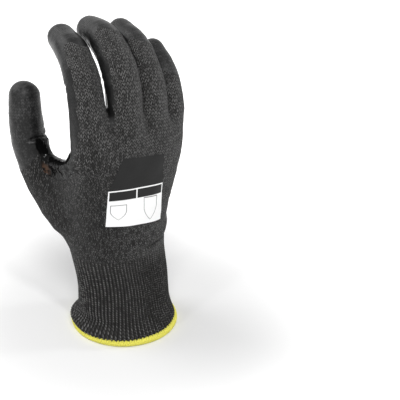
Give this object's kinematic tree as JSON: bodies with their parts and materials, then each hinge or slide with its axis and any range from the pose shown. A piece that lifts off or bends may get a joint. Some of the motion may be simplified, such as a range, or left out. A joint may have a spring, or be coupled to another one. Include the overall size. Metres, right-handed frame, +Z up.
{
  "type": "cut resistant glove",
  "caption": "Right-hand knitted work glove with a dipped palm and fingertips, a ribbed cuff with an overlocked edge and fingers that bend, standing half closed on its cuff.",
  "frame": {"origin": "centre of the cuff's open rim, on the surface that the glove stands on", "axes": "+Z up from the cuff to the fingertips, +Y out of the palm, -X towards the thumb"},
  "size_m": [0.1132, 0.0994, 0.2235],
  "materials": {
    "knit": "seamless fine knit, black flecked with grey",
    "palm_coating": "thin dipped coating, black, satin",
    "saddle_coating": "thick bumpy dipped coating, black, glossy",
    "edge_binding": "overlocked yellow yarn",
    "print_film": "thin heat transfer print, white and grey",
    "elastic_yarn": "covered elastic yarn"
  },
  "bodies": {
    "cuff": {"cuff_knit": "knit", "cuff_binding": "edge_binding", "cuff_elastic_yarns": "elastic_yarn", "cuff_coating": "palm_coating"},
    "hand": {"hand_knit": "knit", "palm_coating": "palm_coating", "back_label": "print_film", "thumb_crotch_patch": "saddle_coating"},
    "index_base": {"index_base_knit": "knit", "index_base_coating": "palm_coating"},
    "index_middle": {"index_middle_knit": "knit", "index_middle_coating": "palm_coating"},
    "index_tip": {"index_tip_knit": "knit", "index_tip_coating": "palm_coating"},
    "middle_base": {"middle_base_knit": "knit", "middle_base_coating": "palm_coating"},
    "middle_middle": {"middle_middle_knit": "knit", "middle_middle_coating": "palm_coating"},
    "middle_tip": {"middle_tip_knit": "knit", "middle_tip_coating": "palm_coating"},
    "ring_base": {"ring_base_knit": "knit", "ring_base_coating": "palm_coating"},
    "ring_middle": {"ring_middle_knit": "knit", "ring_middle_coating": "palm_coating"},
    "ring_tip": {"ring_tip_knit": "knit", "ring_tip_coating": "palm_coating"},
    "little_base": {"little_base_knit": "knit", "little_base_coating": "palm_coating"},
    "little_middle": {"little_middle_knit": "knit", "little_middle_coating": "palm_coating"},
    "little_tip": {"little_tip_knit": "knit", "little_tip_coating": "palm_coating"},
    "thumb_base": {"thumb_base_knit": "knit", "thumb_base_coating": "palm_coating"},
    "thumb_middle": {"thumb_middle_knit": "knit", "thumb_middle_coating": "palm_coating"},
    "thumb_tip": {"thumb_tip_knit": "knit", "thumb_tip_coating": "palm_coating"}
  },
  "joints": [
    {"name": "wrist_bend", "type": "hinge", "parent": "cuff", "child": "hand", "pos_m": [0.0005, 0.004, 0.061], "axis": [-1, 0, 0], "range_deg": [-16, 16]},
    {"name": "index_knuckle", "type": "hinge", "parent": "hand", "child": "index_base", "pos_m": [-0.029, -0.0085, 0.147], "axis": [-0.9962, 0, 0.0872], "range_deg": [-29, 43]},
    {"name": "index_middle_bend", "type": "hinge", "parent": "index_base", "child": "index_middle", "pos_m": [-0.02534, 0.00763, 0.18885], "axis": [-0.9962, 0, 0.0872], "range_deg": [-32, 50]},
    {"name": "index_end_bend", "type": "hinge", "parent": "index_middle", "child": "index_tip", "pos_m": [-0.02397, 0.02839, 0.20444], "axis": [-0.9962, 0, 0.0872], "range_deg": [-21.53, 33.53]},
    {"name": "middle_knuckle", "type": "hinge", "parent": "hand", "child": "middle_base", "pos_m": [-0.0046, -0.0115, 0.148], "axis": [-0.999, 0, 0.0436], "range_deg": [-21, 51]},
    {"name": "middle_middle_bend", "type": "hinge", "parent": "middle_base", "child": "middle_middle", "pos_m": [-0.0025, -0.00036, 0.19619], "axis": [-0.999, 0, 0.0436], "range_deg": [-45, 37]},
    {"name": "middle_end_bend", "type": "hinge", "parent": "middle_middle", "child": "middle_tip", "pos_m": [-0.0018, 0.02508, 0.21207], "axis": [-0.999, 0, 0.0436], "range_deg": [-30.2, 24.87]},
    {"name": "ring_knuckle", "type": "hinge", "parent": "hand", "child": "ring_base", "pos_m": [0.0174, -0.009, 0.1415], "axis": [-0.9997, 0, 0.0262], "range_deg": [-17, 55]},
    {"name": "ring_middle_bend", "type": "hinge", "parent": "ring_base", "child": "ring_middle", "pos_m": [0.01858, -0.00188, 0.18642], "axis": [-0.9997, 0, 0.0262], "range_deg": [-39, 43]},
    {"name": "ring_end_bend", "type": "hinge", "parent": "ring_middle", "child": "ring_tip", "pos_m": [0.01907, 0.01893, 0.20515], "axis": [-0.9997, 0, 0.0262], "range_deg": [-26.2, 28.87]},
    {"name": "little_knuckle", "type": "hinge", "parent": "hand", "child": "little_base", "pos_m": [0.0372, -0.003, 0.134], "axis": [-0.9998, 0, 0.0174], "range_deg": [-13, 59]},
    {"name": "little_middle_bend", "type": "hinge", "parent": "little_base", "child": "little_middle", "pos_m": [0.03784, 0.00022, 0.17085], "axis": [-0.9998, 0, 0.0174], "range_deg": [-27, 55]},
    {"name": "little_end_bend", "type": "hinge", "parent": "little_middle", "child": "little_tip", "pos_m": [0.03815, 0.01135, 0.18866], "axis": [-0.9998, 0, 0.0174], "range_deg": [-18.2, 36.87]},
    {"name": "thumb_swing", "type": "hinge", "parent": "hand", "child": "thumb_base", "pos_m": [-0.0285, 0.0165, 0.0795], "axis": [0, 0, 1], "range_deg": [-8, 11]},
    {"name": "thumb_knuckle", "type": "hinge", "parent": "thumb_base", "child": "thumb_middle", "pos_m": [-0.04727, 0.03923, 0.1135], "axis": [-0.7047, -0.7047, 0.0819], "range_deg": [-18.3, 25.7]},
    {"name": "thumb_end_bend", "type": "hinge", "parent": "thumb_middle", "child": "thumb_tip", "pos_m": [-0.05159, 0.04735, 0.14623], "axis": [-0.7047, -0.7047, 0.0819], "range_deg": [-31.6, 12.4]}
  ],
  "couplings": [
    {"joint": "index_end_bend", "follows": "index_middle_bend", "ratio": 0.6667},
    {"joint": "middle_end_bend", "follows": "middle_middle_bend", "ratio": 0.6667},
    {"joint": "ring_end_bend", "follows": "ring_middle_bend", "ratio": 0.6667},
    {"joint": "little_end_bend", "follows": "little_middle_bend", "ratio": 0.6667}
  ]
}
